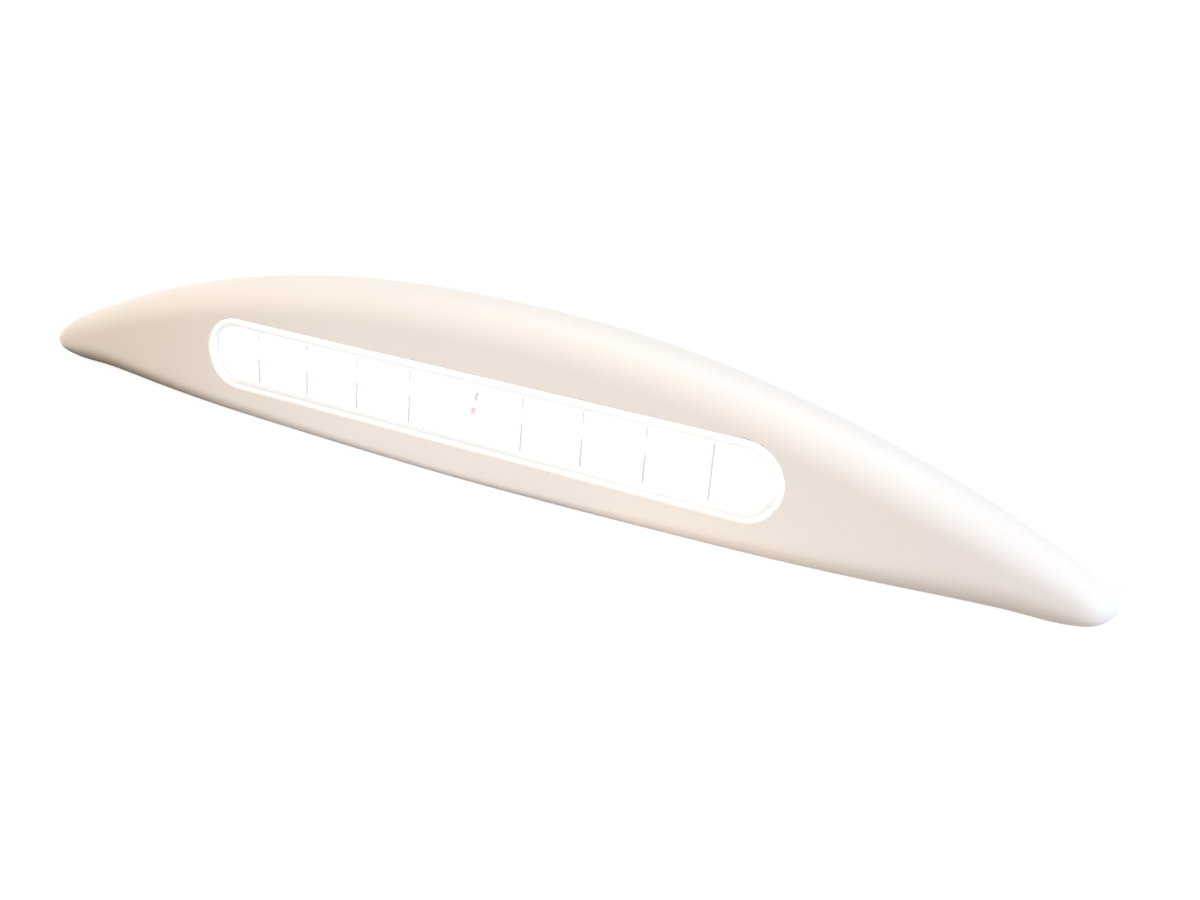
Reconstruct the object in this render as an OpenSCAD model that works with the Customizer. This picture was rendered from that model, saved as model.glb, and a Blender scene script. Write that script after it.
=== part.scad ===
/* [Housing] */
// Overall length of the lamp, nose to nose
housing_length = 300; // [290:1:320]
// Height of the crest above the mounting face at mid-length
crest_height = 43; // [42:0.5:46]
// Depth of the lamp at the mounting face at mid-length
housing_depth = 43.8; // [43:0.2:48]
// Wall of the housing
wall = 2.2; // [1.8:0.1:2.4]
// Lean of the window face from upright, in degrees
face_lean = 10; // [8:0.5:11]
// Radius of the shoulder between the face and the crest
shoulder_r = 10; // [9:0.5:10.5]
// Radius under the face at mid-length
edge_r = 2.4; // [1.8:0.1:2.6]
// Radius under the face at the noses
edge_r_end = 10.5; // [9:0.1:11]
// Height of the tip of each nose above the mounting face
nose_height = 6.9; // [6.4:0.1:7.4]

/* [Window] */
// Length of the window opening
window_length = 162.6; // [158.2:0.4:163.8]
// Height of the window opening, measured along the face
window_height = 18.8; // [18:0.2:19]
// Height of the window's centre above the mounting face
window_z = 18.6; // [18:0.1:18.8]
// Distance between the cell partitions
cell_pitch = 16.1; // [15.5:0.1:16.2]
// Number of LEDs, one a cell and two in the middle cell
led_count = 10; // [8:2:10]

/* [Lens] */
// Width of the flush rim round the recess
rim_width = 1.2; // [0.9:0.1:1.2]
// Width of the sloped recess wall
recess_slope = 0.9; // [0.7:0.1:1]
// Depth of the recess
recess_depth = 0.7; // [0.5:0.1:0.9]
// Thickness of the recessed floor
lens_floor = 1; // [0.8:0.1:1.2]

/* [Mounting] */
// Distance between the two wall screw slots
slot_spacing = 204; // [190:2:206]
// Width of a wall screw slot
slot_width = 4.4; // [4:0.1:5]
// Length of a wall screw slot, end to end
slot_length = 8.4; // [7:0.2:9]
// Bore of the cable grommet
cable_bore = 5.6; // [5:0.1:6]

/* [Hidden] */
$fn = 48;
half_length = housing_length/2;
// How far a rounded edge's lowest point lies behind the corner that it rounds, for each unit of radius
edge_set = 1/cos(face_lean) + tan(face_lean);
base_front_y = -housing_depth/2 - edge_r*(edge_set - 1);
window_y = base_front_y + window_z*tan(face_lean);
back_mid_y = housing_depth/2;
// The crest's curve would meet the mounting face this far past each nose
crest_past = 18.5;
crest_reach = half_length + crest_past;
crest_power = 2.24;
crest_shape = 1.066;
// Shares of the height that the two rounded edges may take near the noses, and how sharply they stop there
shoulder_share = 0.5;
shoulder_stop = 4;
edge_share = 0.47;
edge_stop = 6;
edge_power = 1.62;
// The face is flat to here, and sweeps back beyond
flat_half = 71.5;
sweep = 0.00088;
nose_y = window_y + 8.7;
keel_closing = 14.6;
crest_closing = 11;
side_closing = 6;
// Height over which the keel's closing changes into the crest's
closing_change = 3;
// The back slope leaves the shoulder at this angle and meets the back edge at the next one
back_angle = 126;
back_foot_angle = 78;
foot_turn = 90 - back_foot_angle;
back_power = 2.2;
back_shape = 0.62;
back_edge_r = 3.3;
// The back stays this share of the shoulder's radius behind the shoulder, and eases to it over this length
back_behind = 0.15;
back_ease = 1;
back_turn = 0.2;
// Least radii inside the housing, where the wall takes up the outer ones
least_shoulder = 0.8;
least_edge = 0.3;
least_back_edge = 0.4;
nose_wall = wall + 1;
station_count = 60;
roll_steps = 5;
shoulder_steps = 11;
back_steps = 6;
foot_steps = 5;

// Opening in the back of the housing, and the plate and gasket in it
mouth_half = 112;
lip_land = 1.2;
lip_height = wall + 0.6;
mouth_steps = 31;
plate_gap = 0.25;
gasket_gap = 0.5;
gasket_width = 3.2;
gasket_thick = 1;
plate_thick = 2;
plate_top = gasket_thick + plate_thick;
hook_front_x = 106;
hook_back_x = 50;
hook_width = 8;
hook_thick = 1.5;
hook_gap = 0.75;
hook_reach = 1;
catch_z = 6;
catch_thick = 1.6;
catch_width = 12;
catch_play = 0.15;
catch_end = 2.6;
barb_height = 2;
slot_y = -4.2;
// How far a cut runs past what it opens, how far joined solids overlap, and a hair's breadth for cuts
past = 1;
lap = 0.5;
hair = 0.01;
// How far what stands on the inside of the face is sunk into its wall
sunk = 1.2;

// The lamp unit, in depths below the face of the housing
window_r = window_height/2;
window_half = window_length/2 - window_r;
window_play = 0.2;
lens_r = window_r - window_play;
rim_depth = 0.05;
recess_r = lens_r - rim_width;
floor_r = recess_r - recess_slope;
seat_depth = 3.2;
seat_r = window_r + 2.8;
flange_r = window_r + 2.2;
seal_thick = 0.8;
flange_front = seat_depth + seal_thick;
flange_thick = 1.2;
flange_back = flange_front + flange_thick;
lens_back = recess_depth + lens_floor;
pocket_r = lens_r - 1.5;
tray_front = lens_back + 0.1;
tray_nose_r = pocket_r - 0.1;
tray_plate_back = flange_back + 1.4;
tray_back = 7.6;
tray_r = 8.2;
trough_r = tray_nose_r - 0.4;
trough_foot_r = 4;
partition = 0.6;
partition_edge = 0.2;
board_thick = 1.6;
board_back = tray_back + board_thick;
board_r = 8;
board_end = 4;
end_screw_x = window_half + 15.7;
top_screw_x = 28;
top_screw_y = 15;
boss_r = 3;
boss_depth = 5.6;
pilot_r = 1.25;
pilot_wall = 2.9;
ear_r = 3.8;
ear_back = 7.2;
screw_r = 1.2;
screw_hole_r = 1.7;
screw_head_r = 2.7;
screw_head = 1.8;
screw_tip = 3.3;
driver_slot = [3, 0.7, 2];
led_size = 5;
led_height = 1.6;
led_lens_r = 2;
led_lens = 0.3;
resistor_size = [6.4, 3.2, 0.6];
resistor_count = 5;
resistor_y = -4.5;
diode_size = [5, 3.6, 2.3];
diode_place = [-11.3, 3];

// Cable entry, terminal block and the two leads
grommet_x = -40;
grommet_y = 4;
grommet_r = 5.2;
grommet_flange_r = 7;
grommet_cap = 1.4;
grommet_foot = 0.9;
grommet_play = 0.05;
grommet_bevel = 0.8;
block_x = 3;
block_y = 7;
block_size = [18, 10, 9];
block_pitch = 8;
block_rib = [1.4, 6, 3];
block_play = 0.2;
clamp_r = 1.8;
clamp_height = 2.4;
clamp_play = 0.1;
clamp_sunk = 1;
clamp_slot = [5, 0.7, 1.2];
entry_z = plate_top + 3.4;
entry_r = 1.5;
lead_r = 0.8;
lead_sides = 12;
lead_bend_steps = 5;
lead_play = 0.05;
lead_stub = 1;
// Where each lead comes through the board: along the window, and up the face
red_hole = [-2, -2.2];
black_hole = [-0.8, 1.6];
// How far behind the board each lead runs before it turns down
red_out = 3;
black_out = 6;
lead_into_block = 3;
// Each lead drops a little backwards, stays clear of the block, and enters it level from slightly above
lead_slant = 1;
lead_clear = 3;
lead_above = 1.5;
lead_level = 2.5;
// Straight length that is given up to the first bend
lead_turn = 2.2;

// The four fixing points of the lamp unit: place, and depth of the surface under the screw's head
unit_fixings = [
    [-end_screw_x, 0, board_back],
    [-top_screw_x, top_screw_y, ear_back],
    [top_screw_x, top_screw_y, ear_back],
    [end_screw_x, 0, board_back]
];

// The lesser of two lengths, with a soft change from one to the other
function lesser(a, b, stop) = pow(pow(a, -stop) + pow(b, -stop), -1/stop);

// The greater of two lengths, with a soft change from one to the other
function greater(a, b, ease) = (a + b + norm([a - b, ease]))/2;

// Height of the crest, before the noses close it
function crest(x) =
    crest_height*pow(1 - pow(abs(x)/crest_reach, crest_power), crest_shape);

// Shoulder radius: nearly constant, and eased down where the crest is low
function shoulder(x) = lesser(shoulder_r, shoulder_share*crest(x), shoulder_stop);

// Radius of a lower edge, which grows from a least radius at mid-length towards the noses
function edge(x, least = edge_r) = lesser(
    least + (edge_r_end - least)*pow(abs(x)/half_length, edge_power),
    edge_share*crest(x),
    edge_stop
);

// Where the line of the face meets the mounting face
function face_y(x) = base_front_y + sweep*pow(max(abs(x) - flat_half, 0), 2);

// Where the back meets the mounting face
function back_y(x) =
    nose_y + (back_mid_y - nose_y)*pow(1 - pow(min(abs(x)/half_length, 1), back_power), back_shape);

// From 1 along the body to 0 at a tip, as a quarter of an ellipse
function closing(x, length, tip) =
    sqrt(max(1 - pow(max(abs(x) - (tip - length), 0)/length, 2), 0));

// A point of a section, drawn in towards the tip of the nose
function drawn_in(x, p, tip) =
    let (
        up = p[1] - nose_height,
        share = (1 + up/norm([up, closing_change]))/2,
        length = keel_closing + share*(crest_closing - keel_closing)
    )
    [
        x,
        nose_y + (p[0] - nose_y)*closing(x, side_closing, tip),
        nose_height + up*closing(x, length, tip)
    ];

// Points on an arc, with angles from the face's side over the top
function arc(centre, r, from, to, steps) = [
    for (i = [0:steps])
        let (a = from + (to - from)*i/steps)
        centre + r*[-cos(a), sin(a)]
];

// A quadratic curve without its first point
function curve(a, b, c, steps) = [
    for (i = [1:steps])
        let (t = i/steps)
        (1 - t)*(1 - t)*a + 2*t*(1 - t)*b + t*t*c
];

// The corner where the back slope's two end directions cross
function back_corner(top, foot) =
    let (
        d = [sin(back_angle), cos(back_angle)],
        e = [cos(back_foot_angle), -sin(back_foot_angle)],
        gap = foot - top,
        t = (gap[0]*e[1] - gap[1]*e[0])/(d[0]*e[1] - d[1]*e[0])
    )
    top + greater(t, back_turn, back_ease)*d;

// One section of the housing, moved in by an inset: front edge, shoulder, back slope, back edge
function section(x, inset) =
    let (
        r = max(shoulder(x) - inset, least_shoulder),
        ridge = crest(x) - inset,
        low = max(edge(x) - inset, least_edge),
        low_z = inset + low,
        y = face_y(x) + inset/cos(face_lean),
        low_y = y + low/cos(face_lean) + low_z*tan(face_lean),
        top_y = y + r/cos(face_lean) + (ridge - r)*tan(face_lean),
        shoulder_arc = arc([top_y, ridge - r], r, face_lean, back_angle, shoulder_steps),
        top = shoulder_arc[shoulder_steps],
        foot_r = max(edge(x, back_edge_r) - inset, least_back_edge),
        foot_y = greater(back_y(x) - inset, top[0] + back_behind*r, back_ease),
        foot_arc = arc([foot_y - foot_r, inset + foot_r], foot_r, 180 - foot_turn, 270, foot_steps)
    )
    concat(
        arc([low_y, low_z], low, -90, face_lean, roll_steps),
        shoulder_arc,
        curve(top, back_corner(top, foot_arc[0]), foot_arc[0], back_steps),
        [for (i = [1:foot_steps]) foot_arc[i]]
    );

// The solid inside the sections from one tip to the other
module shell_form(inset, tip) {
    xs = [for (i = [1:station_count - 1]) -tip*cos(180*i/station_count)];
    n = len(section(0, inset));
    points = concat(
        [[-tip, nose_y, nose_height]],
        [for (x = xs, p = section(x, inset)) drawn_in(x, p, tip)],
        [[tip, nose_y, nose_height]]
    );
    last = len(points) - 1;
    faces = concat(
        [for (j = [0:n - 1]) [0, 1 + (j + 1)%n, 1 + j]],
        [for (i = [0:len(xs) - 2], j = [0:n - 1])
            let (a = 1 + i*n + j, b = 1 + i*n + (j + 1)%n)
            each [[a, b, b + n], [a, b + n, a + n]]],
        [for (j = [0:n - 1])
            let (a = 1 + (len(xs) - 1)*n)
            [a + j, a + (j + 1)%n, last]]
    );
    polyhedron(points, faces);
}

function mouth_front(x) = face_y(x) + edge(x)*edge_set + lip_land;

function mouth_back(x) = back_y(x) - edge(x, back_edge_r) - lip_land;

// Outline of the opening in the back, moved in by a gap
module mouth_outline(gap) {
    half = mouth_half - gap;
    xs = [for (i = [0:mouth_steps]) half*(2*i/mouth_steps - 1)];
    polygon(concat(
        [for (x = xs) [x, mouth_front(x) + gap]],
        [for (i = [mouth_steps:-1:0]) [xs[i], mouth_back(xs[i]) - gap]]
    ));
}

// The window's frame: x along the window, y up the face, z out of the face
module on_face() {
    translate([0, window_y, window_z])
        rotate([90 - face_lean, 0, 0])
            children();
}

module obround(r, half = window_half) {
    square([2*half, 2*r], center = true);
    for (side = [-1, 1])
        translate([side*half, 0])
            circle(r);
}

// An obround plate between two depths below the face
module plate(r, from, to, half = window_half) {
    translate([0, 0, -to])
        linear_extrude(to - from)
            obround(r, half);
}

// An obround solid whose radius changes evenly between two depths
module taper(r_from, from, r_to, to) {
    for (side = [-1, 1])
        translate([side*window_half, 0, -to])
            cylinder(r1 = r_to, r2 = r_from, h = to - from);
    rotate([90, 0, 90])
        translate([0, 0, -window_half])
            linear_extrude(2*window_half)
                polygon([[-r_to, -to], [r_to, -to], [r_from, -from], [-r_from, -from]]);
}

// A rod along the depth, below the face
module rod(x, y, r, from, to) {
    translate([x, y, -to])
        cylinder(r = r, h = to - from);
}

// A rib inside the housing that a hook of the back plate holds
module catch_rib(x, y_from, y_to) {
    translate([x - catch_width/2, min(y_from, y_to), catch_z])
        cube([catch_width, abs(y_to - y_from), catch_thick]);
}

module housing() {
    color("#f3ece4")
        difference() {
            union() {
                difference() {
                    shell_form(0, half_length);
                    shell_form(wall, half_length - nose_wall);
                    translate([0, 0, -past])
                        linear_extrude(lip_height + past)
                            mouth_outline(0);
                }
                on_face() {
                    plate(seat_r, wall - sunk, seat_depth);
                    for (p = unit_fixings)
                        rod(p[0], p[1], boss_r, wall - sunk, boss_depth);
                }
                for (side = [-1, 1]) {
                    catch_rib(side*hook_front_x,
                        face_y(hook_front_x) + catch_z*tan(face_lean) + sunk,
                        mouth_front(hook_front_x));
                    catch_rib(side*hook_back_x,
                        mouth_back(hook_back_x),
                        back_y(hook_back_x) - catch_end);
                }
            }
            on_face() {
                plate(window_r, -past, seat_depth + past);
                for (p = unit_fixings)
                    rod(p[0], p[1], pilot_r, pilot_wall, boss_depth + past);
            }
        }
}

module lens() {
    color("#ffffff", 0.4)
        on_face()
            difference() {
                union() {
                    plate(lens_r, rim_depth, flange_back);
                    plate(flange_r, flange_front, flange_back);
                }
                taper(recess_r, rim_depth - hair, floor_r, recess_depth);
                plate(pocket_r, lens_back, flange_back + past);
            }
}

module lens_gasket() {
    color("#7d7f80")
        on_face()
            difference() {
                plate(flange_r, seat_depth, flange_front);
                plate(window_r, seat_depth - past, flange_front + past);
            }
}

module reflector() {
    color("#f8f8f6")
        on_face() {
            difference() {
                union() {
                    plate(tray_nose_r, tray_front, flange_back + lap);
                    plate(flange_r, flange_back, tray_plate_back);
                    plate(tray_r, tray_plate_back - lap, tray_back);
                    for (p = unit_fixings)
                        rod(p[0], p[1], ear_r, boss_depth, p[1] > 0 ? ear_back : tray_back);
                    for (side = [-1, 1]) {
                        translate([side*top_screw_x - ear_r, 0, -ear_back])
                            cube([2*ear_r, top_screw_y, ear_back - boss_depth]);
                        translate([min(side*window_half, side*end_screw_x), -ear_r, -tray_back])
                            cube([end_screw_x - window_half, 2*ear_r, tray_back - boss_depth]);
                    }
                }
                taper(trough_r, tray_front - hair, trough_foot_r, tray_back + hair);
                for (p = unit_fixings)
                    rod(p[0], p[1], screw_hole_r, boss_depth - past, board_back);
            }
            for (side = [-1, 1], k = [1:led_count/2 - 1])
                translate([side*k*cell_pitch - partition/2, partition_edge - tray_nose_r, -tray_back])
                    cube([partition, 2*(tray_nose_r - partition_edge), tray_back - tray_front]);
        }
}

module pcb() {
    color("#f0f0ea")
        on_face()
            difference() {
                plate(board_r, tray_back, board_back, end_screw_x + board_end - board_r);
                for (side = [-1, 1])
                    rod(side*end_screw_x, 0, screw_hole_r, tray_back - past, board_back + past);
                for (hole = [red_hole, black_hole])
                    rod(hole[0], hole[1], lead_r + lead_play, tray_back - past, board_back + past);
            }
}

module led(i) {
    color("#fff8d8")
        on_face()
            translate([(i - (led_count + 1)/2)*cell_pitch, 0, -tray_back]) {
                translate([-led_size/2, -led_size/2, 0])
                    cube([led_size, led_size, led_height - led_lens]);
                cylinder(r = led_lens_r, h = led_height);
            }
}

module on_board_back(x, y, size) {
    on_face()
        translate([x - size[0]/2, y - size[1]/2, -board_back - size[2]])
            cube(size);
}

module resistor(i) {
    color("#20201f")
        on_board_back((2*i - resistor_count - 0.5)*cell_pitch, resistor_y, resistor_size);
}

module diode() {
    color("#2a2a2a")
        on_board_back(diode_place[0], diode_place[1], diode_size);
}

module module_screw(i) {
    p = unit_fixings[i - 1];
    color("#b9bcc0")
        on_face()
            difference() {
                union() {
                    rod(p[0], p[1], screw_r, screw_tip, p[2] + lap);
                    rod(p[0], p[1], screw_head_r, p[2], p[2] + screw_head);
                }
                translate([p[0], p[1], -p[2] - screw_head])
                    for (turn = [0, 90])
                        rotate(turn)
                            cube(driver_slot, center = true);
            }
}

// A hook of the back plate: an arm beside the opening's edge, with a barb that points outward
module hook(x, edge_y, out) {
    root = edge_y - out*hook_gap;
    tip = edge_y + out*hook_reach;
    low = catch_z + catch_thick + catch_play;
    inner = root - out*hook_thick;
    translate([x - hook_width/2, 0, 0])
        rotate([90, 0, 90])
            linear_extrude(hook_width)
                polygon([
                    [inner, plate_top - lap],
                    [root, plate_top - lap],
                    [root, low],
                    [tip, low],
                    [root, low + barb_height],
                    [inner, low + barb_height]
                ]);
}

module wall_slot() {
    half = (slot_length - slot_width)/2;
    obround(slot_width/2, half);
}

module back_plate() {
    color("#e9e7e2") {
        translate([0, 0, gasket_thick])
            linear_extrude(plate_thick)
                difference() {
                    mouth_outline(plate_gap);
                    for (side = [-1, 1])
                        translate([side*slot_spacing/2, slot_y])
                            wall_slot();
                    translate([grommet_x, grommet_y])
                        circle(grommet_r);
                }
        for (side = [-1, 1]) {
            hook(side*hook_front_x, mouth_front(hook_front_x), -1);
            hook(side*hook_back_x, mouth_back(hook_back_x), 1);
        }
        for (side = [-1, 1])
            translate([
                block_x + side*(block_size[0]/2 + block_play + block_rib[0]/2),
                block_y,
                plate_top - lap + block_rib[2]/2
            ])
                cube(block_rib, center = true);
    }
}

module wall_gasket() {
    color("#2b2c2d")
        linear_extrude(gasket_thick)
            difference() {
                mouth_outline(gasket_gap);
                mouth_outline(gasket_gap + gasket_width);
            }
}

module grommet() {
    top = plate_top + grommet_cap;
    foot = gasket_thick - grommet_foot;
    color("#1c1c1d")
        translate([grommet_x, grommet_y, 0])
            rotate_extrude()
                polygon([
                    [cable_bore/2, foot],
                    [grommet_flange_r, foot],
                    [grommet_flange_r, gasket_thick],
                    [grommet_r - grommet_play, gasket_thick],
                    [grommet_r - grommet_play, plate_top],
                    [grommet_flange_r, plate_top],
                    [grommet_flange_r - grommet_bevel, top],
                    [cable_bore/2, top]
                ]);
}

function entry_x(i) = block_x + (i == 0 ? -0.5 : 0.5)*block_pitch;

module terminal_block() {
    color("#dfe3e0")
        difference() {
            translate([block_x - block_size[0]/2, block_y - block_size[1]/2, plate_top])
                cube(block_size);
            for (i = [0, 1]) {
                translate([entry_x(i), block_y - block_size[1], entry_z])
                    rotate([-90, 0, 0])
                        cylinder(r = entry_r, h = 2*block_size[1]);
                translate([entry_x(i), block_y, entry_z])
                    cylinder(r = clamp_r + clamp_play, h = block_size[2]);
            }
        }
}

module clamp_screw(i) {
    top = plate_top + block_size[2];
    color("#c9cbcd")
        translate([entry_x(i - 1), block_y, 0])
            difference() {
                translate([0, 0, top - clamp_height - clamp_sunk])
                    cylinder(r = clamp_r, h = clamp_height);
                translate([0, 0, top - clamp_sunk])
                    cube(clamp_slot, center = true);
            }
}

// A point given along the window, up the face and behind it
function behind_face(x, up, depth) = [
    x,
    window_y + up*sin(face_lean) + depth*cos(face_lean),
    window_z + up*cos(face_lean) - depth*sin(face_lean)
];

function unit(v) = v/norm(v);

// The corners of a lead's route: from in front of the board, back, down and into the terminal block
function lead_corners(hole, out, i) =
    let (
        turn = behind_face(hole[0], hole[1], board_back + out),
        mouth_y = block_y - block_size[1]/2,
        x = entry_x(i)
    )
    [
        behind_face(hole[0], hole[1], tray_back - lead_stub),
        turn,
        [x, min(turn[1] + lead_slant, mouth_y - lead_clear), entry_z + lead_above],
        [x, mouth_y - lead_level, entry_z],
        [x, mouth_y + lead_into_block, entry_z]
    ];

// The same route with its inner corners rounded, as curves between the middles of its sides
function lead_route(corners) =
    let (
        last = len(corners) - 1,
        turn = corners[1] - lead_turn*unit(corners[1] - corners[0]),
        middle = [for (k = [1:last - 1]) (corners[k] + corners[k + 1])/2]
    )
    concat(
        [corners[0], turn],
        [for (k = [1:last - 1])
            each curve(k == 1 ? turn : middle[k - 2], corners[k], middle[k - 1], lead_bend_steps)],
        [corners[last]]
    );

// A round tube along a route that nowhere runs straight along the lamp
module tube(route, r) {
    last = len(route) - 1;
    rings = [
        for (i = [0:last])
            let (
                ahead = unit(route[min(i + 1, last)] - route[max(i - 1, 0)]),
                side = unit(cross(ahead, [1, 0, 0])),
                across = cross(ahead, side)
            )
            each [for (j = [0:lead_sides - 1])
                let (a = 360*j/lead_sides)
                route[i] + r*(cos(a)*side + sin(a)*across)]
    ];
    faces = concat(
        [[for (j = [lead_sides - 1:-1:0]) j]],
        [for (i = [0:last - 1], j = [0:lead_sides - 1])
            let (a = i*lead_sides + j, b = i*lead_sides + (j + 1)%lead_sides)
            each [[a, b, b + lead_sides], [a, b + lead_sides, a + lead_sides]]],
        [[for (j = [0:lead_sides - 1]) last*lead_sides + j]]
    );
    polyhedron(rings, faces);
}

module red_lead() {
    color("#a3262a")
        tube(lead_route(lead_corners(red_hole, red_out, 0)), lead_r);
}

module black_lead() {
    color("#1d1d1e")
        tube(lead_route(lead_corners(black_hole, black_out, 1)), lead_r);
}

housing();
lens();
lens_gasket();
reflector();
pcb();
diode();
for (i = [1:led_count]) led(i);
for (i = [1:resistor_count]) resistor(i);
for (i = [1:4]) module_screw(i);
back_plate();
wall_gasket();
grommet();
terminal_block();
for (i = [1:2]) clamp_screw(i);
red_lead();
black_lead();
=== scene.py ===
# %% [markdown]
# This lesson dresses a long white courtesy light. Its solids come packed as a fixed frame: they
# hold the real sizes, and nothing here moves them. The smooth housing and the clear lens are made
# again as finer meshes on the same measures. Every other piece keeps its solid and gets a finish.

# %% The frame
import math

import bmesh
import bpy
import numpy as np
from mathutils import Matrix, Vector


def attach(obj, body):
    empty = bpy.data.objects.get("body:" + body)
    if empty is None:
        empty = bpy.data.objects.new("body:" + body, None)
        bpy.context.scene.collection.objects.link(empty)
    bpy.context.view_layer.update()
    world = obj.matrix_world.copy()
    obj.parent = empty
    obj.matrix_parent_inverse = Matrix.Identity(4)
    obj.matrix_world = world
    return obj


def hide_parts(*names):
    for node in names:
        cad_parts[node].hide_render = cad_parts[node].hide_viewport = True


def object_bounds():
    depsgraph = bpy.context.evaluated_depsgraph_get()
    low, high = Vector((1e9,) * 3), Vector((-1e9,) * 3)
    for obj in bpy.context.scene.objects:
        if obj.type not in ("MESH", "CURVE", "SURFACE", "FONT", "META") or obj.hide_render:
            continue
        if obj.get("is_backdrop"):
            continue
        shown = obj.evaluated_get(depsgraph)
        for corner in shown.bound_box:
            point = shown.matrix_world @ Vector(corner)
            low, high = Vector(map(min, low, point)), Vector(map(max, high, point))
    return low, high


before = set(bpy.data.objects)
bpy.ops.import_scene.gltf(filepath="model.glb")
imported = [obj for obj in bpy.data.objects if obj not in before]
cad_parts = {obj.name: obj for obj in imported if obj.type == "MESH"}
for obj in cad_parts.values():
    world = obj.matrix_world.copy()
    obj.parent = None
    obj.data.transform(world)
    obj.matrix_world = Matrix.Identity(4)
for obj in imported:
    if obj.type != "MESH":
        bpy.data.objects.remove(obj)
cad_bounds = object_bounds()
MM = 0.001
print("solids in the frame:", len(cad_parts))

# %% [markdown]
# The picture was taken from above and to the right, quite near, so the far end looks much smaller
# than the near one. A camera that stands where the photographer stood gives that for free. Its
# place was found from the window, whose width and height are known: only one place makes both fit.

# %% The camera
CAMERA_PLACE = (146.5, -226.7, 146.95)
CAMERA_AIM = (37.32, -19.08, 17.45)
CAMERA_LENS = 35.29
FLOOR_DROP = 0.15


def metres(point):
    """A point in millimetres as a vector in metres."""
    return Vector(point) * MM


def aimed(thing, place, aim):
    """Puts a camera or lamp at a place and turns it towards another."""
    thing.location = metres(place)
    direction = metres(aim) - metres(place)
    thing.rotation_euler = direction.to_track_quat("-Z", "Y").to_euler()
    bpy.context.scene.collection.objects.link(thing)
    return thing


camera_data = bpy.data.cameras.new("camera")
camera_data.lens = CAMERA_LENS
camera_data.clip_start = 0.01
camera = aimed(bpy.data.objects.new("camera", camera_data), CAMERA_PLACE, CAMERA_AIM)
bpy.context.scene.camera = camera
bpy.context.scene.view_settings.view_transform = "Standard"
print("camera distance, mm:", round((metres(CAMERA_PLACE) - metres(CAMERA_AIM)).length / MM))

# %% [markdown]
# Finishes are written as sums. A wire stands for one output of a shader node, and adding or
# multiplying wires adds the Math nodes that do it, so a mask reads like the formula that it is.
# Colours go through Mix nodes, because a Math node would turn them grey. A Mix node has several
# sockets of one name, so its colour sockets are picked by their number.

# %% Wires
MIX_SHARE, MIX_FIRST, MIX_SECOND, MIX_COLOUR = 0, 6, 7, 2


class Wire:
    """One output of a node, which can be used in a sum."""

    def __init__(self, nodes, socket):
        self.nodes = nodes
        self.socket = socket

    def other(self, output):
        """Another output of the same node."""
        return Wire(self.nodes, self.socket.node.outputs[output])

    def math(self, operation, *others):
        return self.nodes.math(operation, self, *others)

    def __add__(self, other):
        return self.math("ADD", other)

    def __mul__(self, other):
        return self.math("MULTIPLY", other)

    def __sub__(self, other):
        return self.math("SUBTRACT", other)

    def __rsub__(self, other):
        return self.nodes.math("SUBTRACT", other, self)

    def __truediv__(self, other):
        return self.math("DIVIDE", other)

    def __pow__(self, other):
        return self.math("POWER", other)

    def __abs__(self):
        return self.math("ABSOLUTE")

    __radd__ = __add__
    __rmul__ = __mul__


class Nodes:
    """The nodes of a material or of the world."""

    def __init__(self, owner):
        owner.use_nodes = True
        self.tree = owner.node_tree

    def plug(self, socket, value):
        """Sets a socket to a value, or links it to a wire."""
        if isinstance(value, Wire):
            self.tree.links.new(value.socket, socket)
        elif hasattr(socket.default_value, "__len__") and len(socket.default_value) == 4:
            socket.default_value = (*value[:3], 1)
        else:
            socket.default_value = value

    def node(self, kind, settings=None, sockets=None, output=0):
        """Adds a node: its settings first, then its sockets."""
        made = self.tree.nodes.new("ShaderNode" + kind)
        for name, value in (settings or {}).items():
            setattr(made, name, value)
        for name, value in (sockets or {}).items():
            self.plug(made.inputs[name], value)
        return Wire(self, made.outputs[output])

    def math(self, operation, *values):
        return self.node("Math", {"operation": operation}, dict(enumerate(values)))

    def mix(self, share, first, second, blend="MIX"):
        """A colour between two, by a share from 0 to 1, or with another blend."""
        settings = {"data_type": "RGBA", "blend_type": blend}
        sockets = {MIX_SHARE: share, MIX_FIRST: first, MIX_SECOND: second}
        return self.node("Mix", settings, sockets, MIX_COLOUR)

    def step(self, value, low, high):
        """A smooth step from 0 at low to 1 at high."""
        settings = {"interpolation_type": "SMOOTHSTEP"}
        return self.node("MapRange", settings, {"Value": value, "From Min": low, "From Max": high})

    def fall(self, value, low, high):
        """A smooth fall from 1 at low to 0 at high."""
        return 1 - self.step(value, low, high)


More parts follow.
